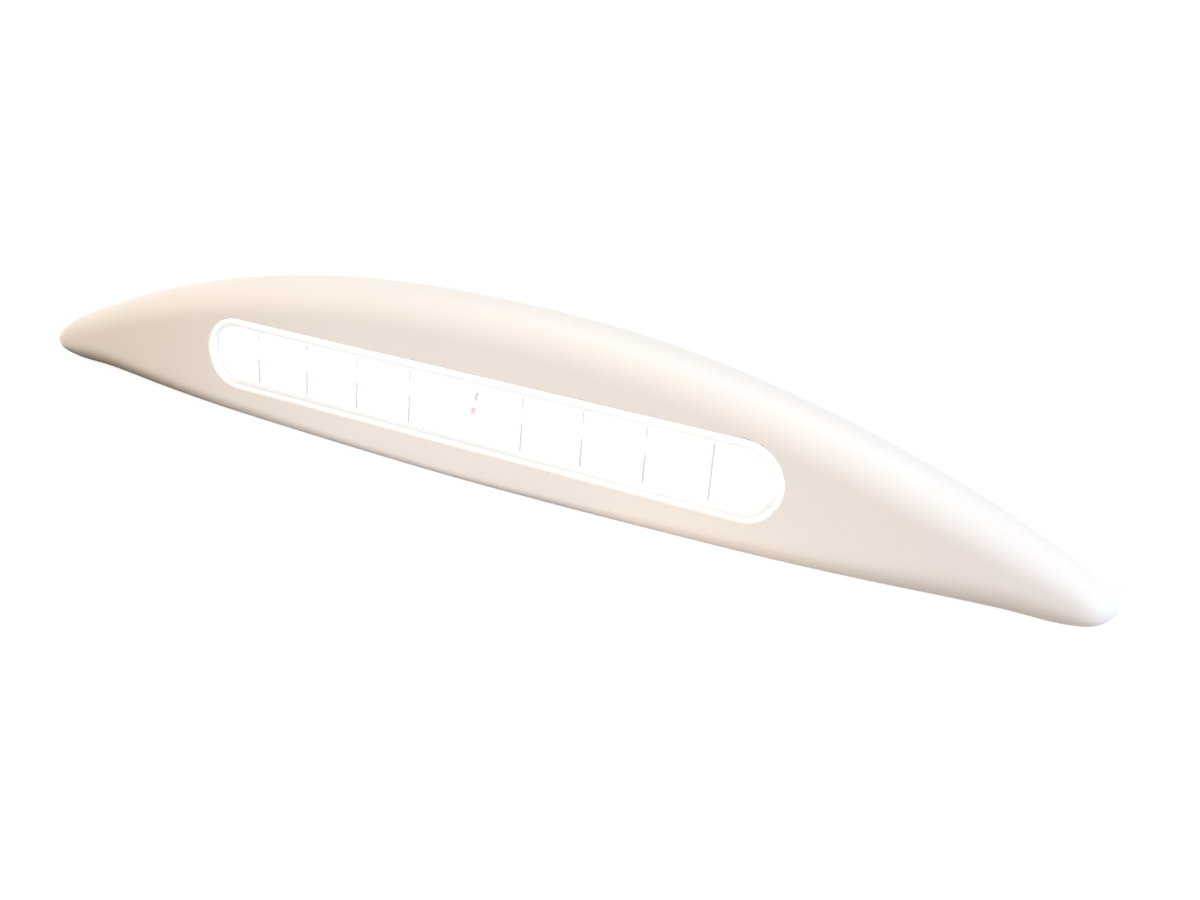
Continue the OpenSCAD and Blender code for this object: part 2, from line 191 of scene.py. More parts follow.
class Finish(Nodes):
    """A material that is built from nodes."""

    def __init__(self, name):
        self.material = bpy.data.materials.new(name)
        super().__init__(self.material)
        self.shader = self.tree.nodes["Principled BSDF"]

    def place(self):
        """The point of the surface, as a vector in metres."""
        return self.node("TexCoord", output="Object")

    def axes(self):
        """The three coordinates of the point, in millimetres."""
        x = self.node("SeparateXYZ", {}, {"Vector": self.place()})
        return x / MM, x.other("Y") / MM, x.other("Z") / MM

    def noise(self, size_mm, detail=3.0, seed=0.0, stretch=(1, 1, 1)):
        """Noise whose blobs are about size_mm across, stretched along the axes."""
        shift = {"Vector": self.place(), "Location": (seed, seed, seed), "Scale": stretch}
        moved = self.node("Mapping", {}, shift)
        sockets = {"Vector": moved, "Scale": 1 / (size_mm * MM), "Detail": detail}
        return self.node("TexNoise", {}, sockets)

    def bump(self, height, depth_mm, strength):
        """Raises the surface in the light by a height from 0 to 1."""
        sockets = {"Height": height, "Distance": depth_mm * MM, "Strength": strength}
        self.plug(self.shader.inputs["Normal"], self.node("Bump", {}, sockets))

    def set(self, **sockets):
        """Sets the shader's own sockets, with an underscore for each space."""
        for name, value in sockets.items():
            self.plug(self.shader.inputs[name.replace("_", " ")], value)

    def coat(self, *pieces):
        """Gives pieces this finish, in place of what they have."""
        for piece in pieces:
            piece.data.materials.clear()
            piece.data.materials.append(self.material)
        print(self.material.name, "on", ", ".join(piece.name for piece in pieces))


print("wires ready")

# %% [markdown]
# A colour is given as it looks on a screen, from 0 to 255, and the shader wants it in linear
# light. One function turns the first into the second, so that every finish can be compared with
# the picture by eye.


# %% Colours
def colour(red, green, blue):
    """A screen colour, each part from 0 to 255, in linear light."""
    parts = [c / 255 for c in (red, green, blue)]
    return tuple(c / 12.92 if c <= 0.04045 else ((c + 0.055) / 1.055) ** 2.4 for c in parts)


print("middle grey in linear light:", round(colour(128, 128, 128)[0], 3))

# %% [markdown]
# The housing is one moulding. Its section has a small roll at the bottom of the face, a flat face
# that leans back, a round shoulder, a sloping back and a rounded back edge. All of them change
# along the length by simple rules, and near the tips everything is drawn in towards one point.
# The form could also be traced by hand, but worked out by formulas its surface has no ripples.

# %% Measures of the housing, in millimetres
half_length = 150
crest_height = 43
housing_depth = 43.8
wall = 2.2
lean = math.radians(10)
shoulder_r = 10
edge_r = 2.4
edge_r_end = 10.5
nose_height, nose_behind = 6.9, 8.7
window_z = 18.6
window_r = 9.4
window_half = 71.9
edge_set = 1 / math.cos(lean) + math.tan(lean)
base_front_y = -housing_depth / 2 - edge_r * (edge_set - 1)
window_y = base_front_y + window_z * math.tan(lean)
back_mid_y = housing_depth / 2
nose_y = window_y + nose_behind
crest_past, crest_power, crest_shape = 18.5, 2.24, 1.066
shoulder_share, shoulder_stop = 0.5, 4
edge_share, edge_stop, edge_power = 0.47, 6, 1.62
flat_half, sweep = 71.5, 0.00088
keel_closing, crest_closing, side_closing, closing_change = 14.6, 11, 6, 3
back_angle, back_foot_angle = math.radians(126), math.radians(78)
back_power, back_shape, back_edge_r = 2.2, 0.62, 3.3
back_behind, back_turn, back_ease = 0.15, 0.2, 1
least_shoulder, least_edge, least_back_edge = 0.8, 0.3, 0.4
nose_wall = wall + 1
print("window's plane, y in mm:", round(window_y, 3))


# %% Rules along the length
def lesser(a, b, stop):
    """The lesser of two lengths, with a soft change from one to the other."""
    return (a**-stop + b**-stop) ** (-1 / stop)


def greater(a, b, ease):
    """The greater of two lengths, with a soft change from one to the other."""
    return (a + b + np.hypot(a - b, ease)) / 2


def crest(x):
    """Height of the crest, before the noses close it."""
    reach = half_length + crest_past
    return crest_height * (1 - (np.abs(x) / reach) ** crest_power) ** crest_shape


def shoulder(x):
    """Radius of the shoulder."""
    return lesser(shoulder_r, shoulder_share * crest(x), shoulder_stop)


def edge(x, least=edge_r):
    """Radius of a lower edge, which grows towards the noses."""
    grown = least + (edge_r_end - least) * (np.abs(x) / half_length) ** edge_power
    return lesser(grown, edge_share * crest(x), edge_stop)


def face_y(x):
    """Where the line of the face meets the mounting face."""
    return base_front_y + sweep * np.maximum(np.abs(x) - flat_half, 0) ** 2


def back_y(x):
    """Where the back meets the mounting face."""
    along = np.minimum(np.abs(x) / half_length, 1)
    return nose_y + (back_mid_y - nose_y) * (1 - along**back_power) ** back_shape


print("crest at the tips, mm:", round(float(crest(half_length)), 2))


# %% Sections
shoulder_steps, slope_steps, foot_steps, edge_steps = 30, 16, 12, 12


def bow(centre_y, centre_z, radius, start, end, steps):
    """Each station's arc between two angles, counted from the face's side over the top."""
    angle = np.linspace(start, end, steps + 1)[:, None]
    return np.stack([centre_y - radius * np.cos(angle), centre_z + radius * np.sin(angle)], -1)


def straight(first, last, steps):
    """Points on the line from one point of each station to another."""
    share = np.linspace(0, 1, steps + 1)[:, None, None]
    return first + (last - first) * share


def bent(first, corner, last, steps):
    """A quadratic curve through each station's section."""
    t = np.linspace(0, 1, steps + 1)[:, None, None]
    return (1 - t) ** 2 * first + 2 * t * (1 - t) * corner + t**2 * last


def back_corner(top, foot):
    """The corner where the back slope's two end directions cross."""
    out = np.array([math.sin(back_angle), math.cos(back_angle)])
    down = np.array([math.cos(back_foot_angle), -math.sin(back_foot_angle)])
    gap = foot - top
    cross = out[0] * down[1] - out[1] * down[0]
    t = (gap[:, 0] * down[1] - gap[:, 1] * down[0]) / cross
    return top + greater(t, back_turn, back_ease)[:, None] * out


def section(x, inset):
    """The curves of the section at each x: edge, shoulder and back, with the roll at its foot."""
    r = np.maximum(shoulder(x) - inset, least_shoulder)
    low = np.maximum(edge(x) - inset, least_edge)
    ridge, low_z = crest(x) - inset, low + inset
    y = face_y(x) + inset / math.cos(lean)
    low_y = y + low / math.cos(lean) + low_z * math.tan(lean)
    top_y = y + r / math.cos(lean) + (ridge - r) * math.tan(lean)
    top = bow(top_y, ridge - r, r, lean, back_angle, shoulder_steps)
    foot_r = np.maximum(edge(x, back_edge_r) - inset, least_back_edge)
    foot_y = greater(back_y(x) - inset, top[-1][:, 0] + back_behind * r, back_ease)
    turn = (back_foot_angle + math.pi / 2, 1.5 * math.pi)
    foot = bow(foot_y - foot_r, inset + foot_r, foot_r, *turn, foot_steps)
    slope = bent(top[-1], back_corner(top[-1], foot[0]), foot[0], slope_steps)
    return {
        "edge": bow(low_y, low_z, low, -math.pi / 2, lean, edge_steps),
        "shoulder": top,
        "back": np.concatenate([slope, foot[1:]]),
    }


def closing(x, length, tip):
    """From 1 along the body to 0 at a tip, as a quarter of an ellipse."""
    past = np.maximum(np.abs(x) - (tip - length), 0) / length
    return np.sqrt(np.maximum(1 - past**2, 0))


def drawn_in(x, points, tip):
    """Section points as points in space, drawn in towards the tip of the nose."""
    up = points[..., 1] - nose_height
    share = (1 + up / np.hypot(up, closing_change)) / 2
    length = keel_closing + share * (crest_closing - keel_closing)
    y = nose_y + (points[..., 0] - nose_y) * closing(x, side_closing, tip)
    z = nose_height + up * closing(x, length, tip)
    return np.stack([np.broadcast_to(x, y.shape), y, z], -1)


middle_height = float(section(np.zeros(1), 0)["shoulder"][..., 1].max())
print("height of the middle section, mm:", round(middle_height, 2))

# %% [markdown]
# A mesh is a list of points and a list of faces. Surfaces here are grids: rows of points with a
# quad between each four. Grids that meet share their border points, and merging points that lie
# together turns all of them into one closed skin.


# %% Grids
merge_distance, least_length = 0.0005 * MM, 0.0004 * MM
sharp_angle = math.radians(40)


class Skin:
    """Collects grids of points and makes one mesh of them."""

    def __init__(self):
        self.points = []
        self.faces = []
        self.count = 0

    def grid(self, points, loop=False):
        """Adds rows of points with quads between them. With loop, each row closes on itself."""
        rows, columns = points.shape[:2]
        index = self.count + np.arange(rows * columns).reshape(rows, columns)
        if loop:
            index = np.concatenate([index, index[:, :1]], 1)
        quads = np.stack([index[:-1, :-1], index[:-1, 1:], index[1:, 1:], index[1:, :-1]], -1)
        self.points.append(points.reshape(-1, 3))
        self.faces += quads.reshape(-1, 4).tolist()
        self.count += rows * columns

    def made(self, name):
        """The mesh as an object in the frame, smooth apart from edges sharper than an angle."""
        mesh = bpy.data.meshes.new(name)
        mesh.from_pydata((np.concatenate(self.points) * MM).tolist(), [], self.faces)
        work = bmesh.new()
        work.from_mesh(mesh)
        bmesh.ops.remove_doubles(work, verts=work.verts, dist=merge_distance)
        bmesh.ops.dissolve_degenerate(work, edges=work.edges, dist=least_length)
        bmesh.ops.recalc_face_normals(work, faces=work.faces)
        open_edges = sum(not e.is_manifold for e in work.edges)
        work.to_mesh(mesh)
        work.free()
        mesh.shade_smooth()
        mesh.set_sharp_from_angle(angle=sharp_angle)
        made = bpy.data.objects.new(name, mesh)
        bpy.context.scene.collection.objects.link(made)
        print(name, "faces:", len(mesh.polygons), "open edges:", open_edges)
        return made


print("grids ready")

# %% [markdown]
# Along the length the stations crowd towards the noses, where the form turns fastest. The flat
# face has the window in it, so in that stretch the face isn't a plain grid: its rows run round the
# window like the rings of a track, from the border of the face to the opening's edge.

# %% Stations
station_count = 180
mouth_half = 112
mouth_steps = 12
lip_land = 1.2
ring_reach = 95
ring_steps = 10
ring_crowding = 1.4
face_steps = 8
opening_roll = 0.3
roll_steps = 6


def stations():
    """Places along the length, from nose to nose, two of them at the back opening's ends."""
    x = -half_length * np.cos(np.linspace(0, np.pi, station_count + 1))
    for end in (-mouth_half, mouth_half):
        x[np.abs(x - end).argmin()] = end
    return x


outer_x = stations()
in_body = np.abs(outer_x) <= mouth_half
in_ring = np.abs(outer_x) <= ring_reach
ring_half = float(outer_x[in_ring][-1])
stretch = (half_length - nose_wall - mouth_half) / (half_length - mouth_half)
inner_end_x = np.sign(outer_x) * (mouth_half + (np.abs(outer_x) - mouth_half) * stretch)
inner_x = np.where(in_body, outer_x, inner_end_x)
print("stations:", len(outer_x), "round the window:", int(in_ring.sum()))


# %% The face round the window
def on_window(along, up, depth):
    """Points given along the window, up the face and below it."""
    y = window_y + up * math.sin(lean) + depth * math.cos(lean)
    z = window_z + up * math.cos(lean) - depth * math.sin(lean)
    return np.stack(np.broadcast_arrays(along, y, z), -1)


def on_face(x, z, inset):
    """Points of the face, or of its wall's inside, at a place along and a height."""
    return np.stack([x, face_y(x) + inset / math.cos(lean) + z * math.tan(lean), z], -1)


def from_middle_line(along, up):
    """Nearest point of the window's middle line, and the direction away from it."""
    nearest = np.clip(along, -window_half, window_half)
    far = np.hypot(along - nearest, up)
    return nearest, (along - nearest) / far, up / far


def ring_border(lower_z, upper_z):
    """The border of the face round the window: places along and heights, anticlockwise."""
    side = np.linspace(0, 1, face_steps + 1)[1:-1]
    right = lower_z[-1] + side * (upper_z[-1] - lower_z[-1])
    left = upper_z[0] + side * (lower_z[0] - upper_z[0])
    x = outer_x[in_ring]
    along = np.concatenate([x, np.full(len(side), x[-1]), x[::-1], np.full(len(side), x[0])])
    return along, np.concatenate([lower_z, right, upper_z[::-1], left])


def face_ring(skin, lower, upper, inset, radius):
    """Grid on the face from its border to an outline round the window, which it returns."""
    along, height = ring_border(lower[in_ring, 1], upper[in_ring, 1])
    centre_z = window_z - inset * math.sin(lean)
    nearest, side, rise = from_middle_line(along, (height - centre_z) / math.cos(lean))
    edge_x = nearest + radius * side
    edge_z = centre_z + radius * rise * math.cos(lean)
    share = 1 - (1 - np.linspace(0, 1, ring_steps + 1)[:, None]) ** ring_crowding
    points = on_face(along + (edge_x - along) * share, height + (edge_z - height) * share, inset)
    skin.grid(points, loop=True)
    return points[-1], (nearest, side, rise)


def moulded_wall(skin, x, inset, tip, radius):
    """One side of the housing's wall, apart from the underside."""
    curves = section(x, inset)
    placed = {name: drawn_in(x, points, tip) for name, points in curves.items()}
    for points in placed.values():
        skin.grid(points)
    lower, upper = curves["edge"][-1], curves["shoulder"][0]
    rows = drawn_in(x, straight(lower, upper, face_steps), tip)
    for end in (outer_x <= -ring_half, outer_x >= ring_half):
        skin.grid(rows[:, end])
    outline, away = face_ring(skin, lower, upper, inset, radius)
    return placed["edge"][0], placed["back"][-1], outline, away


print("the ring reaches, mm:", round(ring_half, 2))

# %% [markdown]
# The back of the housing is open, so that it can be pressed over a plate on the wall. A narrow lip
# runs round the opening, and beyond its ends the underside is closed.


# %% The underside
def mouth_front(x):
    """Front border of the opening at the back."""
    return face_y(x) + edge(x) * edge_set + lip_land


def mouth_back(x):
    """Back border of that opening."""
    return back_y(x) - edge(x, back_edge_r) - lip_land


def underside(skin, front, back, height):
    """The lip round the opening and the closed ends. Returns the opening's outline."""
    station = np.flatnonzero(outer_x == mouth_half)[0]
    depth = back[station, 1] - front[station, 1]
    near = (mouth_front(mouth_half) - front[station, 1]) / depth
    far = (mouth_back(mouth_half) - front[station, 1]) / depth
    shares = np.concatenate([[0], np.linspace(near, far, mouth_steps + 1), [1]])
    rows = front + (back - front) * shares[:, None, None]
    for end in (outer_x <= -mouth_half, outer_x >= mouth_half):
        skin.grid(rows[:, end])
    x = outer_x[in_body]
    level = np.full(len(x), height)
    lip_front = np.stack([x, mouth_front(x), level], -1)
    lip_back = np.stack([x, mouth_back(x), level], -1)
    skin.grid(np.stack([front[in_body], lip_front]))
    skin.grid(np.stack([lip_back, back[in_body]]))
    between = rows[2:-2]
    right, left = between[:, outer_x == mouth_half][:, 0], between[:, outer_x == -mouth_half][:, 0]
    return np.concatenate([lip_front, right, lip_back[::-1], left[::-1]])


print("opening of the back, depth in mm:", round(float(mouth_back(0) - mouth_front(0)), 1))

# %% [markdown]
# Inside the housing stand the seat of the lens, the four screw bosses and the ribs that the plate's
# hooks hold. They are swept or turned outlines, sunk a little into the wall as a mould would join
# them. The same sweep also makes the lens, because its outline runs parallel to the window.

# %% Measures inside
seat_depth, seat_width, seat_clear = 3.2, 2.8, 0.02
seat_r = window_r + seat_width
sunk = 1.2
boss_r, boss_depth, pilot_r, pilot_wall = 3, 5.6, 1.25, 2.9
end_screw_past, top_screw_x, top_screw_up = 15.7, 28, 15
end_screw_x = window_half + end_screw_past
FIXINGS = [
    (-end_screw_x, 0), (-top_screw_x, top_screw_up), (top_screw_x, top_screw_up), (end_screw_x, 0),
]
hook_front_x, hook_back_x = 106, 50
catch_z, catch_thick, catch_width, catch_end = 6, 1.6, 12, 2.6
print("fixings of the lamp unit:", len(FIXINGS))


# %% Sweeps
most_rounded = 0.45


def track(straight_steps=60, cap_steps=32):
    """Points of the window's middle line and directions away from it, once round."""
    line = np.linspace(-window_half, window_half, straight_steps + 1)
    turn = np.radians(np.linspace(-90, 90, cap_steps + 1)[1:-1])
    ends = np.full(len(turn), window_half)
    nearest = np.concatenate([line, ends, line[::-1], -ends])
    side = np.concatenate([0 * line, np.cos(turn), 0 * line, -np.cos(turn)])
    rise = np.concatenate([0 * line - 1, np.sin(turn), 0 * line + 1, -np.sin(turn)])
    return nearest, side, rise


def swept(skin, profile, way, up=0.0, closed=True):
    """Carries a profile of radii and depths round a way."""
    nearest, side, rise = way
    rows = [on_window(nearest + r * side, up + r * rise, depth) for r, depth in profile]
    if closed:
        rows.append(rows[0])
    skin.grid(np.stack(rows), loop=True)


def turned(skin, x, up, profile, steps=32):
    """Turns a profile of radii and depths about one place on the face."""
    angle = np.linspace(0, 2 * math.pi, steps, endpoint=False)
    swept(skin, profile, (np.full(steps, x), np.cos(angle), np.sin(angle)), up, closed=False)


def rounded(corners, radius, steps=4):
    """A profile whose inner corners are rounded, over less than half of each side."""
    corners = np.array(corners, float)
    profile = [corners[0]]
    for before, corner, after in zip(corners[:-2], corners[1:-1], corners[2:]):
        sides = (before - corner, after - corner)
        near = [corner + side * min(radius / np.hypot(*side), most_rounded) for side in sides]
        for t in np.linspace(0, 1, steps + 1):
            profile.append((1 - t) ** 2 * near[0] + 2 * t * (1 - t) * corner + t**2 * near[1])
    return profile + [corners[-1]]


def bar(skin, low, high):
    """A closed bar between two corners."""
    (x0, y0, z0), (x1, y1, z1) = low, high
    loop = np.array([[x0, y0], [x1, y0], [x1, y1], [x0, y1]], float)
    middle = np.tile([(x0 + x1) / 2, (y0 + y1) / 2], (4, 1))
    rows = [(middle, z0), (loop, z0), (loop, z1), (middle, z1)]
    skin.grid(np.stack([np.column_stack([at, np.full(4, z)]) for at, z in rows]), loop=True)


print("places round the window:", len(track()[0]))

# %% The housing's wall
housing_skin = Skin()
front, back, outline, away = moulded_wall(
    housing_skin, outer_x, 0, half_length, window_r + opening_roll
)
inner_front, inner_back, inner_outline, _ = moulded_wall(
    housing_skin, inner_x, wall, half_length - nose_wall, window_r
)
lip = underside(housing_skin, front, back, 0)
inner_lip = underside(housing_skin, inner_front, inner_back, wall)
housing_skin.grid(np.stack([lip, inner_lip]), loop=True)

nearest, side, rise = away
swept_back = (face_y(outline[:, 0]) - base_front_y) * math.cos(lean)
opening_rows = [outline]
for turn in np.radians(np.linspace(0, 90, roll_steps + 1)[1:]):
    r = window_r + opening_roll * (1 - math.sin(turn))
    depth = opening_roll * (1 - math.cos(turn)) + swept_back
    opening_rows.append(on_window(nearest + r * side, r * rise, depth))
housing_skin.grid(np.stack(opening_rows + [inner_outline]), loop=True)
print("points of the wall:", housing_skin.count)


# %% What stands inside the housing
def catch_rib(skin, x, y_from, y_to):
    """A rib that a hook of the plate holds."""
    low, high = min(y_from, y_to), max(y_from, y_to)
    left, right = x - catch_width / 2, x + catch_width / 2
    bar(skin, (left, low, catch_z), (right, high, catch_z + catch_thick))


seat_inner_r, rooted = window_r + seat_clear, wall - sunk
seat = [
    (seat_inner_r, rooted), (seat_r, rooted), (seat_r, seat_depth), (seat_inner_r, seat_depth),
]
swept(housing_skin, seat, track())
for x, up in FIXINGS:
    boss = [(0, rooted), (boss_r, rooted), (boss_r, boss_depth)]
    bore = [(pilot_r, boss_depth), (pilot_r, pilot_wall), (0, pilot_wall)]
    turned(housing_skin, x, up, boss + bore)
for sign in (-1, 1):
    rib_front = face_y(hook_front_x) + catch_z * math.tan(lean) + sunk
    catch_rib(housing_skin, sign * hook_front_x, rib_front, mouth_front(hook_front_x))
    rib_back = back_y(hook_back_x) - catch_end
    catch_rib(housing_skin, sign * hook_back_x, mouth_back(hook_back_x), rib_back)
housing = housing_skin.made("housing_moulding")
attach(housing, "root")
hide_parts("housing")

# %% [markdown]
# The clear cover is a shallow dish with a flush rim, a sloped wall and a flat floor, so its edges
# catch the light as thin lines. It is one profile, carried round the window's middle line.

# %% The lens
lens_gap, rim_depth, rim_width = 0.2, 0.05, 1.2
recess_slope, recess_depth, floor_back = 0.9, 0.7, 1.7
flange_width, flange_front, flange_back = 2.2, 4.0, 5.2
lens_wall, lens_rounding = 1.5, 0.2
lens_r, flange_r = window_r - lens_gap, window_r + flange_width
recess_r, pocket_r = lens_r - rim_width, lens_r - lens_wall
floor_r = recess_r - recess_slope
lens_corners = [
    (0, recess_depth), (floor_r, recess_depth), (recess_r, rim_depth), (lens_r, rim_depth),
    (lens_r, flange_front), (flange_r, flange_front), (flange_r, flange_back),
    (pocket_r, flange_back), (pocket_r, floor_back), (0, floor_back),
]
lens_profile = rounded(lens_corners, lens_rounding)
lens_skin = Skin()
swept(lens_skin, lens_profile, track(), closed=False)
lens = lens_skin.made("lens_cover")
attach(lens, "root")
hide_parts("lens")

# %% [markdown]
# The housing is glossy white plastic. Such a moulding is never quite even: its colour drifts a
# little over the length, its gloss is slightly patchy, and the surface has a very fine orange peel.

# %% Finish of the housing
white = Finish("gloss_white_plastic")
drift = white.noise(45, detail=2, seed=3)
white.set(
    Base_Color=white.mix(drift, colour(248, 245, 240), colour(251, 249, 246)),
    Roughness=0.26 + 0.08 * white.noise(12, detail=4, seed=9),
    IOR=1.5,
)
white.bump(white.noise(1.6, detail=2, seed=5), depth_mm=0.004, strength=0.5)
white.coat(housing)

# %% [markdown]
# The lamp is lit, so most of the window glows evenly, with a glow painted on the cover and the
# tray. What still shows is painted as well: shade on the sloped wall of the cover's recess, eight
# thin lines of shade, and the ends of two leads. Masks for these are written in the window's own
# measures: along it, up the face and below it, which keeps them right from every side.


# %% Places on the window
def window_places(finish):
    """Wires for the place along the window, up the face and below it, in millimetres."""
    x, y, z = finish.axes()
    y, z = y - window_y, z - window_z
    return x, y * math.sin(lean) + z * math.cos(lean), y * math.cos(lean) - z * math.sin(lean)


def from_middle(x, up):
    """Distance from the window's middle line."""
    past = (abs(x) - window_half).math("MAXIMUM", 0.0)
    return (past * past + up * up) ** 0.5


def from_nearest(x, pitch, shift):
    """Place relative to the nearest of a row, which with a shift of 0.5 has one in the middle."""
    return ((x / pitch + shift).math("FLOORED_MODULO", 1.0) - 0.5) * pitch


cell_pitch = 16.1
print("cells, counting the double one as two:", round(2 * (window_half + window_r) / cell_pitch))

# %% [markdown]
# The clear cover has a painted glow that stands in for the light behind it, apart from two kinds
# of mark, both painted shade. Its sloped wall is painted darker, most of all in the lower half. The
# edges of the tray's eight partitions show as thin lines of painted shade, dark at the foot and at
# the head and lost in between, except for the one at the near end. A clear floor lifts what lies
# behind it, so the lines seem to lie on the front of that floor, and this finish paints them there.
# From behind, the painted glow is half as strong.

# %% Reaches of the painted shade marks in millimetres, and how dark they are
floor_end, slope_end = (floor_r - 0.6, floor_r + 0.3), (recess_r + 0.2, recess_r + 0.5)
front_half, lower_half, right_half = (1.0, 1.5), (-4, 5), (0, 60)
far_cap = (window_half - 2, window_half + 6)
slope_dark, slope_right_paler, slope_far_paler = 0.77, 0.12, 0.28
slope_least, slope_far_least = 0.37, 0.09
line_side, double_cell, near_cell, rightwards = (0.15, 0.45), (6, 10), (56, 60), (-60, 20)
foot_top, toe_top, tip_top, head_foot = (-0.6, 3.2), (-5, 1), (-7.2, -5.6), (3.0, 4.2)
foot_dark, toe_dark, tip_paler, right_paler = 0.82, 0.08, 0.07, 0.05
head_dark, near_dark = 0.7, 0.75
glow_behind = 0.5
print("width of a line, mm:", round(sum(line_side), 2))

# %% Finish of the lens
cover = Finish("clear_cover")
x, up, depth = window_places(cover)
radius = from_middle(x, up)
# Painted shade on the recess's sloped wall: darker in the lower half, paler to the right and at the far end.
past_floor = cover.step(radius, *floor_end)
on_slope = past_floor * cover.fall(radius, *slope_end)
far_end = cover.step(0 - x, *far_cap)
dark_side = slope_dark - slope_right_paler * cover.step(x, *right_half) - slope_far_paler * far_end
low_slope = cover.fall(up, *lower_half) * dark_side
slope = on_slope * low_slope.math("MAXIMUM", slope_least + slope_far_least * far_end)

# Painted shade of the partitions' edges: thin lines on the cover's floor, dark at the foot and head.
off_line = abs(from_nearest(x, cell_pitch, 0.5))
on_line = cover.fall(off_line, *line_side) * cover.step(abs(x), *double_cell) * (1 - past_floor)
near_line = cover.step(x, *near_cell)
foot = foot_dark * cover.fall(up, *foot_top) + toe_dark * cover.fall(up, *toe_top)
foot = foot * (1 - tip_paler * cover.fall(up, *tip_top))
foot = foot * (1 - right_paler * cover.step(x, *rightwards) - right_paler * near_line)
head = head_dark * cover.step(up, *head_foot)
line = on_line * foot.math("MAXIMUM", head).math("MAXIMUM", near_dark * near_line)

shade = slope.math("MAXIMUM", line)
front_side = cover.fall(depth, *front_half)
# Painted glow: the cover's emission stands in for the lamp's light behind it, less where shade is painted.
glow = (1 - shade) * (glow_behind + (1 - glow_behind) * front_side)
clear = cover.mix(cover.noise(8, seed=2), colour(240, 242, 242), colour(248, 249, 249))
line_colour = cover.mix(near_line, colour(150, 153, 162), colour(164, 150, 144))
painted_shade_colour = cover.mix(line, colour(227, 231, 233), line_colour)
cover.set(
    Base_Color=cover.mix(shade, clear, painted_shade_colour),
    Roughness=0.06 + 0.05 * cover.noise(5, detail=3, seed=7),
    Alpha=0.3 + 0.65 * past_floor.math("MAXIMUM", line) * front_side,
    Emission_Color=cover.mix(glow, (0, 0, 0), (0.95, 0.97, 1)),
    Emission_Strength=0.47,
)
cover.coat(lens)

# %% [markdown]
# Behind the cover is a white tray with eight thin partitions. The light-emitting pieces fill it
# with light, painted on the tray as a glow of its own: white, a little cooler than the cover.


# %% Finish of the reflector
def dress(finish, *names):
    """Gives solids of the frame a finish."""
    finish.coat(*[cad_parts[name] for name in names])


tray = Finish("reflector_white")
tray.set(
    Base_Color=tray.mix(tray.noise(6), colour(244, 244, 242), colour(250, 250, 248)),
    Roughness=0.3 + 0.1 * tray.noise(3, seed=6),
    # Painted glow: the tray's emission stands in for the light of the light-emitting pieces.
    Emission_Color=(0.88, 0.94, 1),
    Emission_Strength=0.54,
)
dress(tray, "reflector")

# %% [markdown]
# Each light-emitting piece is a small white package with a round lens of yellow phosphor. Lit, the
# lens is far brighter than the package. The ten stand at half pitches, so one mask serves them all.

# %% Finish of the light-emitting pieces
led_lens_rim = (1.9, 2.1)
lit = Finish("led_light")
x, up, _ = window_places(lit)
off_centre = from_nearest(x, cell_pitch, 0)
package = lit.step((off_centre * off_centre + up * up) ** 0.5, *led_lens_rim)
lit.set(
    Base_Color=lit.mix(package, colour(252, 240, 180), colour(246, 246, 243)),
    Roughness=0.3 + 0.1 * lit.noise(0.5),
    Emission_Color=lit.mix(package, (1, 1, 1), (0.4, 0.4, 0.4)),
    Emission_Strength=2.5,
)
dress(lit, *[f"led_{i}" for i in range(1, 11)])

# %% [markdown]
# The pieces behind the window are seen only when the lamp is opened, but they are finished like the
# rest. Most are moulded plastic or rubber, which one recipe covers: two near colours that drift
# into each other, uneven gloss, and a grain whose size and depth belong to the material.


# %% Mouldings and rubber
def moulding(name, first, second, drift_mm, rough, grain_mm, grain_depth):
    """Plastic or rubber: two near colours, uneven gloss and a fine grain."""
    made = Finish(name)
    made.set(
        Base_Color=made.mix(made.noise(drift_mm, detail=3), colour(*first), colour(*second)),
        Roughness=rough + 0.12 * made.noise(drift_mm / 3, detail=3, seed=4),
    )
    made.bump(made.noise(grain_mm, detail=3, seed=8), depth_mm=grain_depth, strength=0.6)
    return made


for piece, *recipe in [
    ("lens_gasket", "grey_silicone", (112, 114, 116), (126, 128, 129), 9, 0.5, 0.8, 0.01),
    ("back_plate", "plate_white", (226, 224, 219), (236, 234, 229), 20, 0.42, 0.5, 0.03),
    ("grommet", "black_rubber", (22, 22, 23), (34, 34, 35), 4, 0.55, 0.6, 0.02),
    ("terminal_block", "block_nylon", (214, 219, 216), (228, 231, 228), 5, 0.38, 0.6, 0.02),
]:
    dress(moulding(*recipe), piece)

# %% [markdown]
# The ends of the two leads look out of the board into the lit cell. So much light falls on them
# that only a thin part of each keeps its colour. That light is painted on: the rest is pale and glows.


# %% Leads
board_front = (7.4, 7.6)
mark_edge = 0.2


def lead(name, first, second, mark_from, mark_to):
    """Insulated wire, whose end in front of the board has painted light on it, apart from a thin mark."""
    made = moulding(name, first, second, drift_mm=3, rough=0.35, grain_mm=1.2, grain_depth=0.01)
    plastic = Wire(made, made.shader.inputs["Base Color"].links[0].from_socket)
    x, _, depth = window_places(made)
    mark = made.step(x, mark_from, mark_from + mark_edge)
    mark = mark * made.fall(x, mark_to, mark_to + mark_edge)
    # Painted light: in front of the board the lead is pale and glows, apart from the thin mark.
    painted_light = made.fall(depth, *board_front) * (1 - mark)
    made.set(
        Base_Color=made.mix(painted_light, plastic, colour(246, 244, 242)),
        Emission_Color=made.mix(painted_light, (0, 0, 0), (1, 0.98, 0.98)),
        Emission_Strength=0.6,
    )
    return made


dress(lead("lead_red", (150, 28, 32), (172, 38, 42), -1.95, -1.15), "red_lead")
dress(lead("lead_black", (24, 24, 25), (34, 34, 35), -1.0, -0.3), "black_lead")
